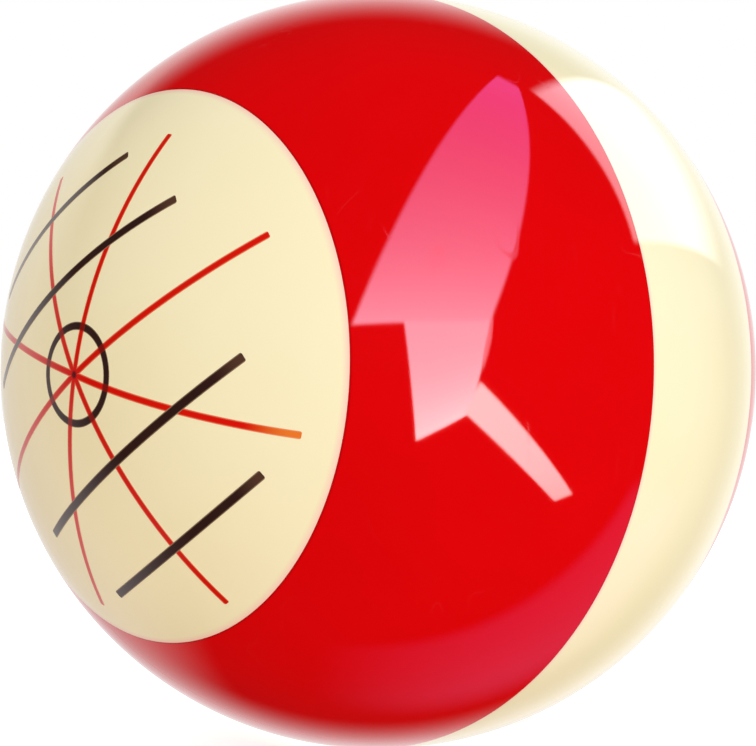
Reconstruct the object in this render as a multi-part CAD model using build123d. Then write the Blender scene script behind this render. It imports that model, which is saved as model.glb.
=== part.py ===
from build123d import *
import os
from math import acos, degrees, hypot, radians, tan

# Practice cue ball: five cast layers of coloured resin stacked along Y, with an aiming target
# inlaid in the cap at each end. Millimetres. The origin is the ball's centre and +Z is up.
# The front target faces -Y and the rear one faces +Y.

# Ball and layers
ball_diameter = 57.15   # standard pool ball, 2 1/4 in
belt_width = 14.0       # cream belt round the middle, between its two flat faces
cap_height = 6.12       # cream cap, from its flat face to the top of its dome

# Aiming target. Lengths and widths are measured along the ball's surface.
ray_width = 0.45
ray_tip_margin = 1.3    # from the tip of the longest ray to the cap's rim, where that is nearest
ray_shortfalls = (1.2, 0.8, 0.7, 0.7, 0.7, 0.3, 0.0, 0.8)    # how much shorter each ray is
ring_radius = 2.95      # to the middle of the ring's stroke
ring_width = 0.50
dot_diameter = 0.55
bar_width = 0.58
inner_bar_length = 22.0
outer_bar_length = 15.8
bar_offsets = (11.9, 6.0, -6.05, -12.2)    # above the target's centre, from the top bar down
bar_slants = (0.6, -0.3, 1.1, 1.3)         # degrees, anticlockwise

# How the target sits in its cap, facing it
target_right = 0.76     # off the cap's centre
target_down = 0.70
target_roll = 30.6      # degrees, anticlockwise, of the first ray and of the four bars

# Inlays. Each is poured and polished before the next is engraved across it, less deep.
ring_depth = 0.80
depth_step = 0.20
cutter_overrun = 1.0    # how far a cutter stands out of the ball

ball_radius = ball_diameter / 2
cap_plane = ball_radius - cap_height
belt_plane = belt_width / 2
cap_rim = ball_radius * acos(cap_plane / ball_radius)
ray_reach = cap_rim - hypot(target_right, target_down) - ray_tip_margin
ray_count = len(ray_shortfalls)
ray_depth = ring_depth - depth_step
bar_depth = ray_depth - depth_step
bar_lengths = (outer_bar_length, inner_bar_length, inner_bar_length, outer_bar_length)


def turn(arc):
    """Angle at the ball's centre, in degrees, of an arc on its surface."""
    return degrees(arc / ball_radius)


def section(plane, width, depth):
    """A cutter's section at the pole, in an upright plane: its width by its height."""
    height = depth + cutter_overrun
    return plane * Pos(0, ball_radius - depth + height / 2) * Rectangle(width, height)


def strip(width, depth, start, end):
    """Cutter along the great circle over +Z towards +X, between two arc lengths from the pole."""
    profile = Rot(Y=turn(start)) * section(Plane.YZ, width, depth)
    return revolve(profile, Axis.Y, turn(end - start))


def dot_cutter():
    """Round pocket at the target's centre, as deep as the ring."""
    height = ring_depth + cutter_overrun
    return Pos(0, 0, ball_radius - ring_depth + height / 2) * Cylinder(dot_diameter / 2, height)


def ring_cutter():
    """Round groove about the target's centre, square to the ball's surface."""
    profile = Rot(Y=turn(ring_radius)) * section(Plane.XZ, ring_width, ring_depth)
    return revolve(profile, Axis.Z, 360)


def ray_cutter(length):
    """One ray along +X, mitred at the centre so that it meets its two neighbours face to face."""
    half_angle = radians(180 / ray_count)
    half_width = ball_radius * tan(half_angle)
    outline = Polygon((0, 0), (ball_radius, -half_width), (ball_radius, half_width), align=None)
    sector = extrude(outline, ball_radius + cutter_overrun)
    return strip(ray_width, ray_depth, -ray_width, length) & sector


def bar_cutter(offset, slant, length):
    """One bar, straight across the ball's surface, above the centre and turned about its middle."""
    bar = strip(bar_width, bar_depth, -length / 2, length / 2)
    return Rot(X=-turn(offset)) * Rot(Z=slant) * bar


def layer(start, end):
    """Slice of the ball between two planes across Y."""
    slab = Pos(0, (start + end) / 2, 0) * Box(ball_diameter, end - start, ball_diameter)
    return Sphere(ball_radius) & slab


def end_nodes(end_name, blank, place):
    """A cap with its target: the cap is cut for every inlay, and each inlay for those after it."""
    dot = place * dot_cutter()
    ring = place * ring_cutter()
    rays = [
        place * Rot(Z=number * 360 / ray_count) * ray_cutter(ray_reach - shortfall)
        for number, shortfall in enumerate(ray_shortfalls)
    ]
    bars = [place * bar_cutter(*bar) for bar in zip(bar_offsets, bar_slants, bar_lengths)]
    nodes = {
        end_name + "_cap": blank - [dot, ring] - rays - bars,
        end_name + "_centre_dot": blank & dot,
        end_name + "_ring": (blank & ring) - rays,
    }
    for number, ray in enumerate(rays, 1):
        nodes[f"{end_name}_ray_{number}"] = (blank & ray) - [dot] - bars
    for number, bar in enumerate(bars, 1):
        nodes[f"{end_name}_bar_{number}"] = blank & bar
    return nodes


aim = Rot(Y=turn(target_right)) * Rot(X=turn(target_down)) * Rot(Z=target_roll)
face_front = Rot(X=90)
half_turn = Rot(Z=180)

nodes = {
    "front_red_zone": layer(-cap_plane, -belt_plane),
    "centre_belt": layer(-belt_plane, belt_plane),
    "rear_red_zone": layer(belt_plane, cap_plane),
}
nodes.update(end_nodes("front", layer(-ball_radius, -cap_plane), face_front * aim))
nodes.update(end_nodes("rear", layer(cap_plane, ball_radius), half_turn * face_front * aim))

os.makedirs("parts", exist_ok=True)
for name, solid in nodes.items():
    export_step(solid, f"parts/{name}.step")
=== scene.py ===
from math import acos, cos, degrees, pi, radians, sin, sqrt, tan

import bpy
import numpy as np
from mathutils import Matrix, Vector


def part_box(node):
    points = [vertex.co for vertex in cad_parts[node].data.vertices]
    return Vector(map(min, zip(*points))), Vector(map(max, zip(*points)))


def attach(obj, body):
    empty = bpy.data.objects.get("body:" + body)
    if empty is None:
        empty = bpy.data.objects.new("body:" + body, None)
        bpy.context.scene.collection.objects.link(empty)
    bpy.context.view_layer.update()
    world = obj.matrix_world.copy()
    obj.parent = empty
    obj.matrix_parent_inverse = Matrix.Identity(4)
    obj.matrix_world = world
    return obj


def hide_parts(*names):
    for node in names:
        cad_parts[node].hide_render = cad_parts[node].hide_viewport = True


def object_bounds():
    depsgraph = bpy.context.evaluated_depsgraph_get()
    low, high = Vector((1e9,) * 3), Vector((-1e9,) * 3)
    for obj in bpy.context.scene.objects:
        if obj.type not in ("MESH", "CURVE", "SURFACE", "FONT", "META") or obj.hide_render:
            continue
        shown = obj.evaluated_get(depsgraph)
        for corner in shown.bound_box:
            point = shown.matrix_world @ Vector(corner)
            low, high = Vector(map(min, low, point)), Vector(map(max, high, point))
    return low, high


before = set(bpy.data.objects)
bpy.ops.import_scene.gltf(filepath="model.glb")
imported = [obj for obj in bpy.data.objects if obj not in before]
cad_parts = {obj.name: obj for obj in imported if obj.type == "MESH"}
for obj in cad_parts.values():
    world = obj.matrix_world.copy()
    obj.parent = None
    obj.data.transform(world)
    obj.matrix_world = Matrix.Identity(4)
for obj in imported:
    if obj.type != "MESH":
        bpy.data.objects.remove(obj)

cad_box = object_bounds()

# Cream castings: the caps at both ends and the belt round the middle of the ball.
# Each is a layer of ivory polyester resin, cast against its neighbour, then ground and polished with
# the whole ball, so that its outer face is part of one sphere and the other faces are flat.
MM = 0.001
ball_radius = (cad_box[1].z - cad_box[0].z) / 2
cap_angle = acos(-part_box("front_cap")[1].y / ball_radius)
belt_angle = acos(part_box("centre_belt")[1].y / ball_radius)


def grid(index):
    """Two triangles for each cell of a grid of vertex numbers, less the ones that a pole closes up."""
    a, b, c, d = index[:-1, :-1], index[1:, :-1], index[1:, 1:], index[:-1, 1:]
    halves = [np.stack(corners, -1).reshape(-1, 3) for corners in ((a, b, c), (a, c, d))]
    triangles = np.concatenate(halves)
    same = (triangles == np.roll(triangles, 1, axis=1)).any(axis=1)
    return triangles[~same]


def turned(profile, columns=360):
    """A profile of (distance from the axis, height) turned once round +Z: the point in row i and column
    j is (distance cos a, distance sin a, height) with a = 2 pi j / columns. A row on the axis is one
    point, and a profile that starts off the axis closes on itself."""
    angle = np.linspace(0, 2 * pi, columns, endpoint=False)
    distance, height = profile[:, :1], profile[:, 1:]
    points = np.stack([distance * np.cos(angle), distance * np.sin(angle), height + 0 * angle], -1)
    index = np.arange(points.size // 3).reshape(points.shape[:2])
    on_axis = profile[:, 0] == 0
    index[on_axis] = index[on_axis, :1]
    index = np.column_stack([index, index[:, 0]])
    if not on_axis[0]:
        index = np.vstack([index, index[:1]])
    used, triangles = np.unique(grid(index), return_inverse=True)
    return points.reshape(-1, 3)[used], triangles.reshape(-1, 3)


def solid(name, points, triangles, stroke=None):
    """A closed mesh on the CAD body. Where a whole triangle lies on the ball's surface its corners take
    the sphere's own normal, a point divided by its length, so that a reflection runs unbroken from one
    piece to the next. Every other triangle is flat. A stroke is a pair of UV values for each point."""
    first, second, third = points[triangles].transpose(1, 0, 2)
    flat = np.cross(second - first, third - first)
    if (first * flat).sum() < 0:
        triangles, flat = triangles[:, ::-1], -flat
    flat /= np.linalg.norm(flat, axis=1, keepdims=True)
    radius = np.linalg.norm(points, axis=1)
    rounding = 1e-8
    skin = (radius[triangles] > radius.max() - rounding).all(axis=1)
    normals = np.where(skin[:, None, None], (points / radius[:, None])[triangles], flat[:, None])
    mesh = bpy.data.meshes.new(name)
    mesh.from_pydata(points, [], triangles)
    if stroke is not None:
        layer = mesh.uv_layers.new(name="stroke")
        layer.data.foreach_set("uv", stroke[triangles].astype(np.float32).ravel())
    mesh.polygons.foreach_set("use_smooth", np.ones(len(triangles), bool))
    mesh.normals_split_custom_set(normals.reshape(-1, 3).tolist())
    piece = bpy.data.objects.new(name, mesh)
    bpy.context.scene.collection.objects.link(piece)
    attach(piece, "root")
    return piece


def layer_profile(start, end):
    """Section of a ball layer about its axis, between two angles from the pole: a flat face from the
    axis to the sphere, an arc in steps of about a degree, and a flat face back to the axis."""
    arc = np.linspace(start, end, 1 + round(degrees(end - start)))
    rim = ball_radius * np.column_stack([np.sin(arc), np.cos(arc)])
    rim[0, 0] *= start > 0
    faces = [[[0, rim[0, 1]]]] * (start > 0) + [rim] + [[[0, rim[-1, 1]]]]
    return np.vstack(faces)


def face_outwards(points, side):
    """Turns +Z to the end of the ball that the side names: -Y for the front, +Y for the rear."""
    x, y, z = points.T
    turn = {"front": 1, "rear": -1}[side]
    return np.column_stack([turn * x, -turn * z, y])


def linear(colour):
    """An sRGB hex colour as the linear values that a shader takes, with an alpha of 1."""
    channels = np.array([int(colour[i:i + 2], 16) for i in (1, 3, 5)]) / 255
    curve = np.where(channels <= 0.04045, channels / 12.92, ((channels + 0.055) / 1.055) ** 2.4)
    return (*curve, 1)


def new_material(name):
    """An empty node material and its output node."""
    material = bpy.data.materials.new(name)
    material.use_nodes = True
    material.node_tree.nodes.clear()
    return material, material.node_tree.nodes.new("ShaderNodeOutputMaterial")


def add(tree, kind, inputs=None, **settings):
    """A node with its settings, and with each input set to a value or linked to another node's socket."""
    node = tree.nodes.new(kind)
    for name, value in settings.items():
        setattr(node, name, value)
    for name, value in (inputs or {}).items():
        if isinstance(value, bpy.types.NodeSocket):
            tree.links.new(value, node.inputs[name])
        else:
            node.inputs[name].default_value = value
    return node


def cast_resin(name, light, dark, seam, seam_width):
    """Cast polyester resin, buffed to a gloss. The eye gets a colour with slow, faint clouds from the
    stirring, a thin line at each joint where the next layer shows through, and sharp reflections that
    buffing has left slightly uneven, with a few hairline scratches."""
    material, output = new_material(name)
    tree = material.node_tree
    place = add(tree, "ShaderNodeTexCoord").outputs["Object"]
    clouds = add(tree, "ShaderNodeTexNoise", {"Vector": place, "Scale": 1 / (9 * MM), "Detail": 3})
    body = add(tree, "ShaderNodeMix", {0: clouds.outputs["Fac"], 6: linear(dark), 7: linear(light)},
               data_type="RGBA").outputs[2]
    height = add(tree, "ShaderNodeSeparateXYZ", {0: place}).outputs["Y"]
    depth = add(tree, "ShaderNodeMath", {0: height}, operation="ABSOLUTE").outputs[0]
    for angle in (cap_angle, belt_angle):
        joint = ball_radius * cos(angle)
        gap = add(tree, "ShaderNodeMath", {0: depth, 1: joint}, operation="SUBTRACT")
        beside = add(tree, "ShaderNodeMath", {0: gap.outputs[0]}, operation="ABSOLUTE")
        show = add(tree, "ShaderNodeMapRange", {"Value": beside.outputs[0], "From Min": seam_width,
                                                "From Max": 0.0}, interpolation_type="SMOOTHSTEP")
        body = add(tree, "ShaderNodeMix", {0: show.outputs[0], 6: body, 7: linear(seam)},
                   data_type="RGBA").outputs[2]
    buffing = add(tree, "ShaderNodeTexNoise", {"Vector": place, "Scale": 1 / (3 * MM), "Detail": 2})
    polish = add(tree, "ShaderNodeMapRange", {"Value": buffing.outputs["Fac"], "To Min": 0.02,
                                              "To Max": 0.05})
    long_way = add(tree, "ShaderNodeMapping", {"Vector": place, "Rotation": (0.5, 0.9, 0.3),
                                               "Scale": (1, 1, 0.08)})
    streaks = add(tree, "ShaderNodeTexNoise", {"Vector": long_way.outputs[0], "Scale": 1 / (2 * MM),
                                               "Detail": 0})
    level = add(tree, "ShaderNodeMath", {0: streaks.outputs["Fac"], 1: 0.5}, operation="SUBTRACT")
    contour = add(tree, "ShaderNodeMath", {0: level.outputs[0]}, operation="ABSOLUTE")
    hairline = add(tree, "ShaderNodeMapRange", {"Value": contour.outputs[0], "From Min": 0.010,
                                                "From Max": 0.003})
    patches = add(tree, "ShaderNodeTexNoise", {"Vector": place, "Scale": 1 / (4 * MM), "Detail": 1})
    wear_and_orange_tip = add(tree, "ShaderNodeMapRange", {"Value": patches.outputs["Fac"], "From Min": 0.57,
                                            "From Max": 0.64})
    scratch = add(tree, "ShaderNodeMath", {0: hairline.outputs[0], 1: wear_and_orange_tip.outputs[0]},
                  operation="MULTIPLY")
    roughness = add(tree, "ShaderNodeMix", {0: scratch.outputs[0], 2: polish.outputs[0], 3: 0.16})
    uneven = add(tree, "ShaderNodeBump", {"Height": buffing.outputs["Fac"], "Strength": 1.0,
                                          "Distance": 0.0006 * MM})
    scored = add(tree, "ShaderNodeBump", {"Height": scratch.outputs[0], "Strength": 0.1,
                                          "Distance": 0.002 * MM, "Normal": uneven.outputs[0]},
                 invert=True)
    shader = add(tree, "ShaderNodeBsdfPrincipled",
                 {"Base Color": body, "Roughness": roughness.outputs[0], "IOR": 1.56,
                  "Normal": scored.outputs[0]})
    tree.links.new(shader.outputs[0], output.inputs[0])
    return material


cream_resin = cast_resin("ivory_cast_polyester", "#F8F2D1", "#F5ECC4", "#F9D6C4", 0.30 * MM)
cream_layers = {
    "front_cap": ("front", 0, cap_angle),
    "centre_belt": ("front", belt_angle, pi - belt_angle),
    "rear_cap": ("rear", 0, cap_angle),
}
for node_name, (side, start, end) in cream_layers.items():
    points, triangles = turned(layer_profile(start, end))
    piece = solid(node_name + "_casting", face_outwards(points, side), triangles)
    piece.data.materials.append(cream_resin)
    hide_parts(node_name)

# Red castings: the two broad layers between the belt and the caps.
# The same polyester resin with a strong red pigment, cast between the cream layers and polished with
# them. The pigment is dense, so the colour is deep and even.
red_resin = cast_resin("red_cast_polyester", "#DC0207", "#D20104", "#AC0008", 0.12 * MM)
for side in ("front", "rear"):
    points, triangles = turned(layer_profile(cap_angle, belt_angle))
    piece = solid(side + "_red_zone_casting", face_outwards(points, side), triangles)
    piece.data.materials.append(red_resin)
    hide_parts(side + "_red_zone")

# Target rings: one small black ring on each cap.
# Black pigmented resin, poured into a round groove that a cutter has turned in the cap, then polished
# flush. Everything after it is cut across it and lies a few microns higher, too little to see.
polish_step = 0.004 * MM
inlay_depth = 0.3 * MM
inlay_rows = 5
ring_radius = 2.95 * MM
ring_width = 0.50 * MM
ring_columns = 180
target_roll = radians(30.6)


def aim(side):
    """Rotation from +Z to the middle of a cap's target, with +X level, worked out from the centre dot."""
    low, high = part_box(side + "_centre_dot")
    out = np.array(low + high)
    out /= np.linalg.norm(out)
    right = np.cross([0, 0, 1], out)
    right /= np.linalg.norm(right)
    return np.column_stack([right, np.cross(out, right), out])


def about_z(angle):
    """Rotation matrix about +Z."""
    return np.array([[cos(angle), -sin(angle), 0], [sin(angle), cos(angle), 0], [0, 0, 1]])


def about_x(angle):
    """Rotation matrix about +X."""
    return np.array([[1, 0, 0], [0, cos(angle), -sin(angle)], [0, sin(angle), cos(angle)]])


def inlay_profile(inner, outer, step):
    """Section of a round inlay between two arcs from the pole: a top arc, and a lower one under it."""
    arc = np.linspace(inner, outer, inlay_rows) / ball_radius
    top = (ball_radius + step * polish_step) * np.column_stack([np.sin(arc), np.cos(arc)])
    under = (ball_radius - inlay_depth) * np.column_stack([np.sin(arc), np.cos(arc)])[::-1]
    return np.vstack([top, under])


def pigment(name, dense, thin, patch, tints):
    """Pigmented resin inlay, polished flush with the ball. The eye gets a line of colour, a little
    thinner in places, with the gloss of the resin round it. Each tint is (axis, line, near, far,
    colour): the colour sets in as the distance from that line along a stroke axis, in mm, goes from
    near to far."""
    material, output = new_material(name)
    tree = material.node_tree
    place = add(tree, "ShaderNodeTexCoord").outputs["Object"]
    stroke = add(tree, "ShaderNodeUVMap", uv_map="stroke").outputs[0]
    axes = add(tree, "ShaderNodeSeparateXYZ", {0: stroke}).outputs
    cover = add(tree, "ShaderNodeTexNoise", {"Vector": place, "Scale": 1 / patch, "Detail": 4})
    colour = add(tree, "ShaderNodeMix", {0: cover.outputs["Fac"], 6: linear(dense), 7: linear(thin)},
                 data_type="RGBA").outputs[2]
    for axis, line, near, far, tint in tints:
        gap = add(tree, "ShaderNodeMath", {0: axes[axis], 1: line}, operation="SUBTRACT")
        reach = add(tree, "ShaderNodeMath", {0: gap.outputs[0]}, operation="ABSOLUTE")
        share = add(tree, "ShaderNodeMapRange", {"Value": reach.outputs[0], "From Min": near,
                                                 "From Max": far}, interpolation_type="SMOOTHSTEP")
        colour = add(tree, "ShaderNodeMix", {0: share.outputs[0], 6: colour, 7: linear(tint)},
                     data_type="RGBA").outputs[2]
    shader = add(tree, "ShaderNodeBsdfPrincipled", {"Base Color": colour, "Roughness": 0.04, "IOR": 1.56})
    tree.links.new(shader.outputs[0], output.inputs[0])
    return material


ring_half = ring_width / 2 / MM
ring_black = pigment("black_pigment_ring", "#2C1715", "#3A2422", 0.8 * MM,
                     [("Y", 0, ring_half - 0.08, ring_half + 0.04, "#B9A184")])
for side in ("front", "rear"):
    profile = inlay_profile(ring_radius - ring_width / 2, ring_radius + ring_width / 2, 1)
    points, triangles = turned(profile, ring_columns)
    x, y, z = points.T
    round_it = np.arctan2(y, x) * ring_radius
    across = np.arctan2(np.hypot(x, y), z) * ball_radius - ring_radius
    stroke = np.column_stack([round_it, across]) / MM
    piece = solid(side + "_ring_inlay", points @ aim(side).T, triangles, stroke)
    piece.data.materials.append(ring_black)
    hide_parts(side + "_ring")

# Target rays: eight thin red lines from the centre of each target, 45 degrees apart.
# Red pigmented resin in nearly straight grooves, cut by hand after the ring was filled, so each ray
# runs over the ring and some bow a little to one side. They are mitred where they meet.
ray_lengths = np.array([15.5, 15.9, 16.0, 16.0, 16.0, 16.4, 16.7, 15.9]) * MM
ray_sways = np.array([(0.02, 0.16), (0.02, -0.28), (-0.17, -0.50), (-0.10, -0.18), (0.07, 0.10),
                      (0.09, 0.10), (-0.07, 0.0), (-0.09, 0.22)]) * MM
ray_width = 0.45 * MM
ray_row_spacing = 0.6 * MM
stroke_corner = 0.13 * MM
corner_rows = 7
stroke_columns = 9


def slab(top, under):
    """Closed skin over two matching grids of points: the top, the one under it, and a wall between
    their borders."""
    upper = np.arange(top.shape[0] * top.shape[1]).reshape(top.shape[:2])
    lower = upper + upper.size
    border = np.concatenate([upper[:-1, 0], upper[-1, :-1], upper[:0:-1, -1], upper[0, :0:-1],
                             upper[:1, 0]])
    triangles = [grid(upper), grid(lower[:, ::-1]), grid(np.stack([border, border + upper.size]))]
    return np.concatenate([top.reshape(-1, 3), under.reshape(-1, 3)]), np.concatenate(triangles)


def rounded_end(length, width):
    """The last stretch of a stroke as (distance along, half width) rows: its corners are quarter arcs."""
    arc = np.linspace(0, pi / 2, corner_rows)
    return np.column_stack([length + stroke_corner * (np.sin(arc) - 1),
                            width / 2 + stroke_corner * (np.cos(arc) - 1)])


def stroke_skin(rows, start, mitre, step, sway=(0, 0)):
    """A line along the great circle over +Z towards +X, from rows of (distance along, half width) that
    begin at a start on that circle. At the angle s from +Z and the distance h beside the line, a point
    at radius r is (q sin s, h, q cos s) with q = sqrt(r r - h h). The mitre is how much further along
    each column begins, for each mm beside the middle. The sway is how far the hand-held cutter strayed
    sideways halfway and at the tip: a parabola through both. Returns points, triangles and (along,
    across) in mm."""
    across = rows[:, 1:] * np.linspace(-1, 1, stroke_columns)
    along = np.maximum(rows[:, :1], abs(across) * mitre)
    angle = (start + along) / ball_radius
    share = along / along.max()
    halfway, tip = sway
    aside = across + share * (4 * halfway - tip) + share ** 2 * (2 * tip - 4 * halfway)
    levels = []
    for radius in (ball_radius + step * polish_step, ball_radius - inlay_depth):
        reach = np.sqrt(radius ** 2 - aside ** 2)
        levels.append(np.stack([reach * np.sin(angle), aside, reach * np.cos(angle)], -1))
    stroke = np.stack([along, across], -1).reshape(-1, 2) / MM
    return *slab(*levels), np.concatenate([stroke, stroke])


ray_half = ray_width / 2 / MM
ring_middle = ring_radius / MM
feathered = ("Y", 0, ray_half - 0.10, ray_half + 0.03, "#F0A077")
over_ring = ("X", ring_middle, 0.32, 0.16, "#7C150F")
red_inlay = pigment("red_pigment_inlay", "#DA1208", "#C81A0A", 4 * MM, [feathered, over_ring])
# Front ray 8 turns orange from 12.4 mm along it out to its tip.
orange_tipped_red_inlay = pigment("orange_tipped_red_pigment_inlay", "#DE1008", "#D0180A", 4 * MM,
                         [("X", 0, 12.4, 15.4, "#E87A2C"), feathered, over_ring])
for side in ("front", "rear"):
    for number, (length, sway) in enumerate(zip(ray_lengths, ray_sways)):
        end = rounded_end(length, ray_width)
        shaft = np.linspace(0, end[0, 0], round(end[0, 0] / ray_row_spacing), endpoint=False)
        rows = np.vstack([np.column_stack([shaft, np.full(len(shaft), ray_width / 2)]), end])
        points, triangles, stroke = stroke_skin(rows, 0, 1 / tan(pi / len(ray_lengths)), 2, sway)
        place = aim(side) @ about_z(target_roll + 2 * pi * number / len(ray_lengths))
        node_name = f"{side}_ray_{number + 1}"
        piece = solid(node_name + "_inlay", points @ place.T, triangles, stroke)
        # Front ray 8 takes the red that turns orange towards its tip.
        wear_and_orange_tip = node_name == "front_ray_8"
        piece.data.materials.append(orange_tipped_red_inlay if wear_and_orange_tip else red_inlay)
        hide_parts(node_name)

# Target bars: four black lines across each target, two on each side of its centre.
# Black pigmented resin in straight grooves, cut last, so each bar runs over the rays. Each follows a
# great circle of the ball, as the edge of a rule laid on it would.
bar_width = 0.58 * MM
bar_shaft_rows = 38
bars = [(11.9 * MM, 0.6, 15.8 * MM), (6.0 * MM, -0.3, 22.0 * MM), (-6.05 * MM, 1.1, 22.0 * MM),
        (-12.2 * MM, 1.3, 15.8 * MM)]
bar_half = bar_width / 2 / MM
bar_black = pigment("black_pigment_bar", "#2A1413", "#36201C", 1.2 * MM,
                    [("X", 0, 2.4, 0.2, "#50362A"),
                     ("Y", 0, bar_half - 0.09, bar_half + 0.04, "#B39A7C")])
for side in ("front", "rear"):
    for number, (offset, slant, length) in enumerate(bars, 1):
        end = rounded_end(length, bar_width)
        start = (end * [-1, 1] + [length, 0])[::-1]
        shaft = np.linspace(start[-1, 0], end[0, 0], bar_shaft_rows + 2)[1:-1]
        rows = np.vstack([start, np.column_stack([shaft, np.full(bar_shaft_rows, bar_width / 2)]), end])
        points, triangles, stroke = stroke_skin(rows, -length / 2, 0, 3)
        moved_over = about_x(-offset / ball_radius) @ about_z(radians(180 + slant))
        place = aim(side) @ about_z(target_roll) @ moved_over
        node_name = f"{side}_bar_{number}"
        piece = solid(node_name + "_inlay", points @ place.T, triangles, stroke)
        piece.data.materials.append(bar_black)
        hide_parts(node_name)

# Target centres: a dark dot where the rays meet.
# A round pin of maroon pigmented resin, set in a drilled pocket and polished flush.
dot_radius = 0.275 * MM
dot_columns = 48
dot_half = dot_radius / MM
maroon_inlay = pigment("maroon_pigment_inlay", "#4E0A12", "#640C16", 0.3 * MM,
                       [("Y", 0, dot_half - 0.16, dot_half + 0.04, "#CE120A")])
for side in ("front", "rear"):
    profile = inlay_profile(0, dot_radius, 4)
    points, triangles = turned(profile, dot_columns)
    x, y, z = points.T
    stroke = np.column_stack([0 * x, np.hypot(x, y)]) / MM
    piece = solid(side + "_centre_dot_inlay", points @ aim(side).T, triangles, stroke)
    piece.data.materials.append(maroon_inlay)
    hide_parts(side + "_centre_dot")

# Camera: in front of the ball, about one and a half diameters from its centre, so a little less than
# half of the ball is seen. The limb share is the ball's seen radius as a share of the picture's width.
camera_azimuth = radians(41.3)
camera_height = radians(-1.26)
distance_in_radii = 3.107
camera_distance = distance_in_radii * ball_radius
limb_share = 0.49974


def towards(azimuth, height):
    """Unit vector from the ball to a place in the studio: azimuth 0 is in front of the front cap."""
    return np.array([sin(azimuth) * cos(height), -cos(azimuth) * cos(height), sin(height)])


camera_data = bpy.data.cameras.new("camera")
camera_data.lens = limb_share * sqrt(distance_in_radii ** 2 - 1) * camera_data.sensor_width
camera_data.shift_x = -0.00026
camera_data.shift_y = -0.0025
camera_data.clip_start = ball_radius / 10
camera = bpy.data.objects.new("camera", camera_data)
bpy.context.scene.collection.objects.link(camera)
camera.location = camera_distance * towards(camera_azimuth, camera_height)
camera.rotation_euler = (radians(90) - camera_height, 0, camera_azimuth)
bpy.context.scene.camera = camera

# Floor: a wide white board that the ball stands on.
# It isn't seen in the gloss, so that the red stays deep. To the eye it is as bright as the room behind
# it. What it throws back on the ball is warm and dim on the left, white and bright on the right.
board_reach = 1.0
warm_reach = 0.12
board_corners = [(-1, -1), (1, -1), (1, 1), (-1, 1)]
board_mesh = bpy.data.meshes.new("white_board")
board_mesh.from_pydata([(x * board_reach, y * board_reach, -ball_radius) for x, y in board_corners], [],
                       [(0, 1, 2, 3)])
board = bpy.data.objects.new("white_board", board_mesh)
bpy.context.scene.collection.objects.link(board)
board.visible_glossy = False
board_white, board_output = new_material("white_board")
tree = board_white.node_tree
right = towards(camera_azimuth + pi / 2, 0)
place = add(tree, "ShaderNodeTexCoord").outputs["Object"]
aside = add(tree, "ShaderNodeVectorMath", {0: place, 1: right}, operation="DOT_PRODUCT")
share = add(tree, "ShaderNodeMapRange", {"Value": aside.outputs["Value"], "From Min": -warm_reach,
                                         "From Max": warm_reach}, interpolation_type="SMOOTHSTEP")
bounce = add(tree, "ShaderNodeMix", {0: share.outputs[0], 6: linear("#6A501F"), 7: linear("#F6F6F6")},
             data_type="RGBA")
seen = add(tree, "ShaderNodeLightPath").outputs["Is Camera Ray"]
paint = add(tree, "ShaderNodeMix", {0: seen, 6: linear("#8C7450"), 7: linear("#F4F4F4")},
            data_type="RGBA")
shine = add(tree, "ShaderNodeMix", {0: seen, 6: bounce.outputs[2], 7: linear("#CCCCCC")},
            data_type="RGBA")
surface = add(tree, "ShaderNodeBsdfDiffuse", {"Color": paint.outputs[2]})
glow = add(tree, "ShaderNodeEmission", {"Color": shine.outputs[2], "Strength": 1.2})
both = add(tree, "ShaderNodeAddShader", {0: surface.outputs[0], 1: glow.outputs[0]})
tree.links.new(both.outputs[0], board_output.inputs[0])
board_mesh.materials.append(board_white)

# Key light: one large soft lamp beside the camera, a little to its right and a little above it.
# It is left out of the gloss, where the window, the skylight and the wall are seen instead.
key_data = bpy.data.lights.new("key_light", "AREA")
key_data.size = 0.8
key_data.energy = 5.55
key_light = bpy.data.objects.new("key_light", key_data)
bpy.context.scene.collection.objects.link(key_light)
key_azimuth = camera_azimuth + radians(4)
key_height = radians(3)
key_light.location = towards(key_azimuth, key_height)
key_light.rotation_euler = (radians(90) - key_height, 0, key_azimuth)
key_light.visible_glossy = False

# Bright panels that only the gloss shows: a tall window in two parts with a low slit beside it, a
# skylight behind the ball on the right, a pale wall behind it on the left, and a dim counter below.
panel_distance = 2.0
panel_rows = 21
near = towards(camera_azimuth, camera_height)
sight = np.column_stack([right, np.cross(near, right), near])


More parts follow.
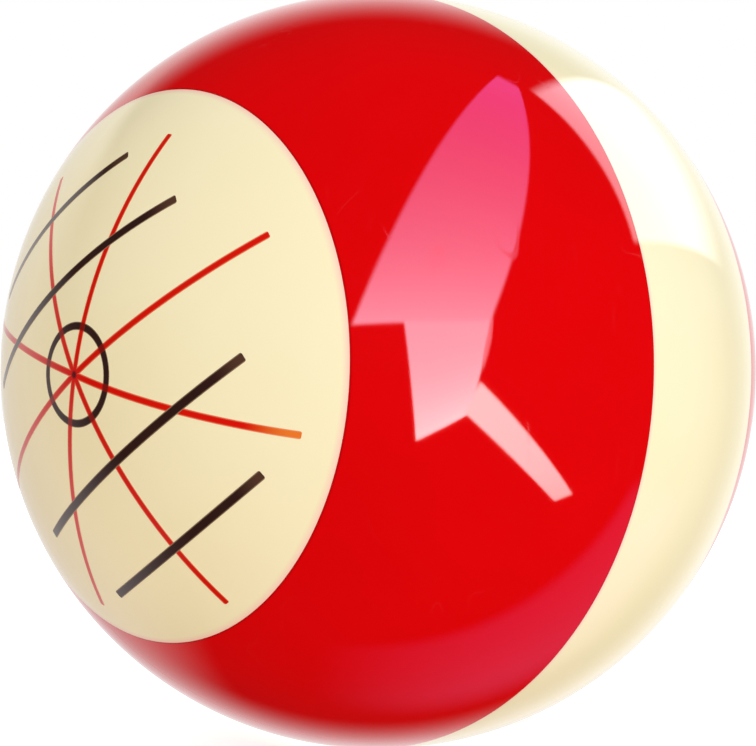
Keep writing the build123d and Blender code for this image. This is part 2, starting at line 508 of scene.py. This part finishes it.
def panel(name, corners, edges, low, high, strength):
    """A flat panel with soft edges. The corners are bottom left, bottom right, top right and top left,
    each as (right, up, towards the camera) from the ball, and a point is the bilinear mix of the four.
    The edges are the shares of the panel over which it fades out: left, right, bottom and top. Its
    colour runs from low at the bottom to high at the top, quickly at first."""
    share = np.linspace(0, 1, panel_rows)
    u, v = [way.ravel() for way in np.meshgrid(share, share, indexing="ij")]
    weights = np.column_stack([(1 - u) * (1 - v), u * (1 - v), u * v, (1 - u) * v])
    points = panel_distance * weights @ np.array(corners) @ sight.T
    triangles = grid(np.arange(len(points)).reshape(panel_rows, panel_rows))
    mesh = bpy.data.meshes.new(name)
    mesh.from_pydata(points, [], triangles)
    layer = mesh.uv_layers.new(name="panel")
    layer.data.foreach_set("uv", np.column_stack([u, v])[triangles].astype(np.float32).ravel())
    card = bpy.data.objects.new(name, mesh)
    bpy.context.scene.collection.objects.link(card)
    card.visible_camera = card.visible_diffuse = card.visible_shadow = False
    material, output = new_material(name)
    tree = material.node_tree
    place = add(tree, "ShaderNodeUVMap", uv_map="panel").outputs[0]
    axes = add(tree, "ShaderNodeSeparateXYZ", {0: place}).outputs
    mask = 1.0
    for axis, start, width in zip("XXYY", (0, 1, 0, 1), edges):
        fade = add(tree, "ShaderNodeMapRange", {"Value": axes[axis], "From Min": start,
                                                "From Max": abs(start - width)},
                   interpolation_type="SMOOTHSTEP")
        mask = add(tree, "ShaderNodeMath", {0: mask, 1: fade.outputs[0]}, operation="MULTIPLY").outputs[0]
    fall = add(tree, "ShaderNodeMapRange", {"Value": axes["Y"], "To Min": 1.0, "To Max": 0.0})
    share = add(tree, "ShaderNodeMath", {0: fall.outputs[0], 1: 2.5}, operation="POWER")
    tone = add(tree, "ShaderNodeMix", {0: share.outputs[0], 6: linear(high), 7: linear(low)},
               data_type="RGBA")
    shine = add(tree, "ShaderNodeEmission", {"Color": tone.outputs[2], "Strength": strength})
    clear = add(tree, "ShaderNodeBsdfTransparent")
    both = add(tree, "ShaderNodeMixShader", {0: mask, 1: clear.outputs[0], 2: shine.outputs[0]})
    tree.links.new(both.outputs[0], output.inputs[0])
    material.cycles.emission_sampling = "NONE"
    mesh.materials.append(material)


panel("window_top", [(-0.14, 0.20, 0.97), (0.50, 0.20, 0.84), (0.43, 0.88, -0.19), (0.37, 0.91, -0.21)],
      (0.05, 0.04, 0.03, 0.04), "#EFDDF8", "#8A4E92", 8.5)
panel("window_foot", [(0.17, -0.33, 0.93), (0.41, -0.20, 0.89), (0.52, 0.32, 0.79), (0.10, 0.32, 0.94)],
      (0.03, 0.03, 0.03, 0.12), "#FFFCFF", "#C4B9CC", 14)
panel("slit", [(0.71, -0.53, 0.46), (0.775, -0.49, 0.40), (0.456, -0.03, 0.889), (0.36, -0.17, 0.917)],
      (0.1, 0.1, 0.03, 0.05), "#D0CCCC", "#F4F0F0", 13)
panel("skylight", [(0.90, 0.44, 0.08), (0.75, 0.20, -0.63), (0.38, 0.40, -0.83), (0.45, 0.86, -0.19)],
      (0.04, 0.5, 0.06, 0.08), "#FFFFFF", "#F0F0FF", 3.5)
panel("wall", [(-0.66, -0.66, 0.42), (-0.18, -0.71, -0.68), (-0.14, 0.57, -0.81), (-0.75, 0.57, -0.33)],
      (0.42, 0.4, 0.3, 0.15), "#F0E8EC", "#F4F0EC", 0.95)
panel("counter", [(-0.25, -0.96, 0.16), (0.93, -0.36, 0.14), (0.87, -0.30, -0.36), (-0.20, -0.88, -0.42)],
      (0.5, 0.1, 0.15, 0.4), "#886AB8", "#9C84C0", 0.85)

# Room: dark on the camera's side, so that the gloss stays clear, and white behind the ball, which
# gives the pale rim round its edge. Its diffuse light is white, but dim and warm from the lower left.
room = bpy.data.worlds.new("room")
bpy.context.scene.world = room
room.use_nodes = True
room.node_tree.nodes.clear()
tree = room.node_tree
ray = add(tree, "ShaderNodeLightPath")
way = add(tree, "ShaderNodeTexCoord").outputs["Generated"]
facing = add(tree, "ShaderNodeVectorMath", {0: way, 1: near}, operation="DOT_PRODUCT")
backdrop = add(tree, "ShaderNodeMapRange",
               {"Value": facing.outputs["Value"], "From Min": -0.5, "From Max": -0.85, "To Min": 0.02,
                "To Max": 1.0}, interpolation_type="SMOOTHSTEP")
even = add(tree, "ShaderNodeMix", {0: ray.outputs["Is Glossy Ray"], 2: 0.88, 3: backdrop.outputs[0]})
strength = add(tree, "ShaderNodeMix", {0: ray.outputs["Is Camera Ray"], 2: even.outputs[0], 3: 1.0})
dim_side = -0.85 * right - np.array([0, 0, 0.5])
aside = add(tree, "ShaderNodeVectorMath", {0: way, 1: dim_side}, operation="DOT_PRODUCT")
warmth = add(tree, "ShaderNodeMapRange", {"Value": aside.outputs["Value"], "From Min": 0.15,
                                          "From Max": 0.8})
fill = add(tree, "ShaderNodeMath", {0: ray.outputs["Is Diffuse Ray"], 1: warmth.outputs[0]},
           operation="MULTIPLY")
light = add(tree, "ShaderNodeMix", {0: fill.outputs[0], 6: linear("#FFFFFF"), 7: linear("#9A8038")},
            data_type="RGBA")
background = add(tree, "ShaderNodeBackground", {"Color": light.outputs[2],
                                                "Strength": strength.outputs[0]})
room_output = add(tree, "ShaderNodeOutputWorld")
tree.links.new(background.outputs[0], room_output.inputs[0])
bpy.context.scene.view_settings.view_transform = "Standard"
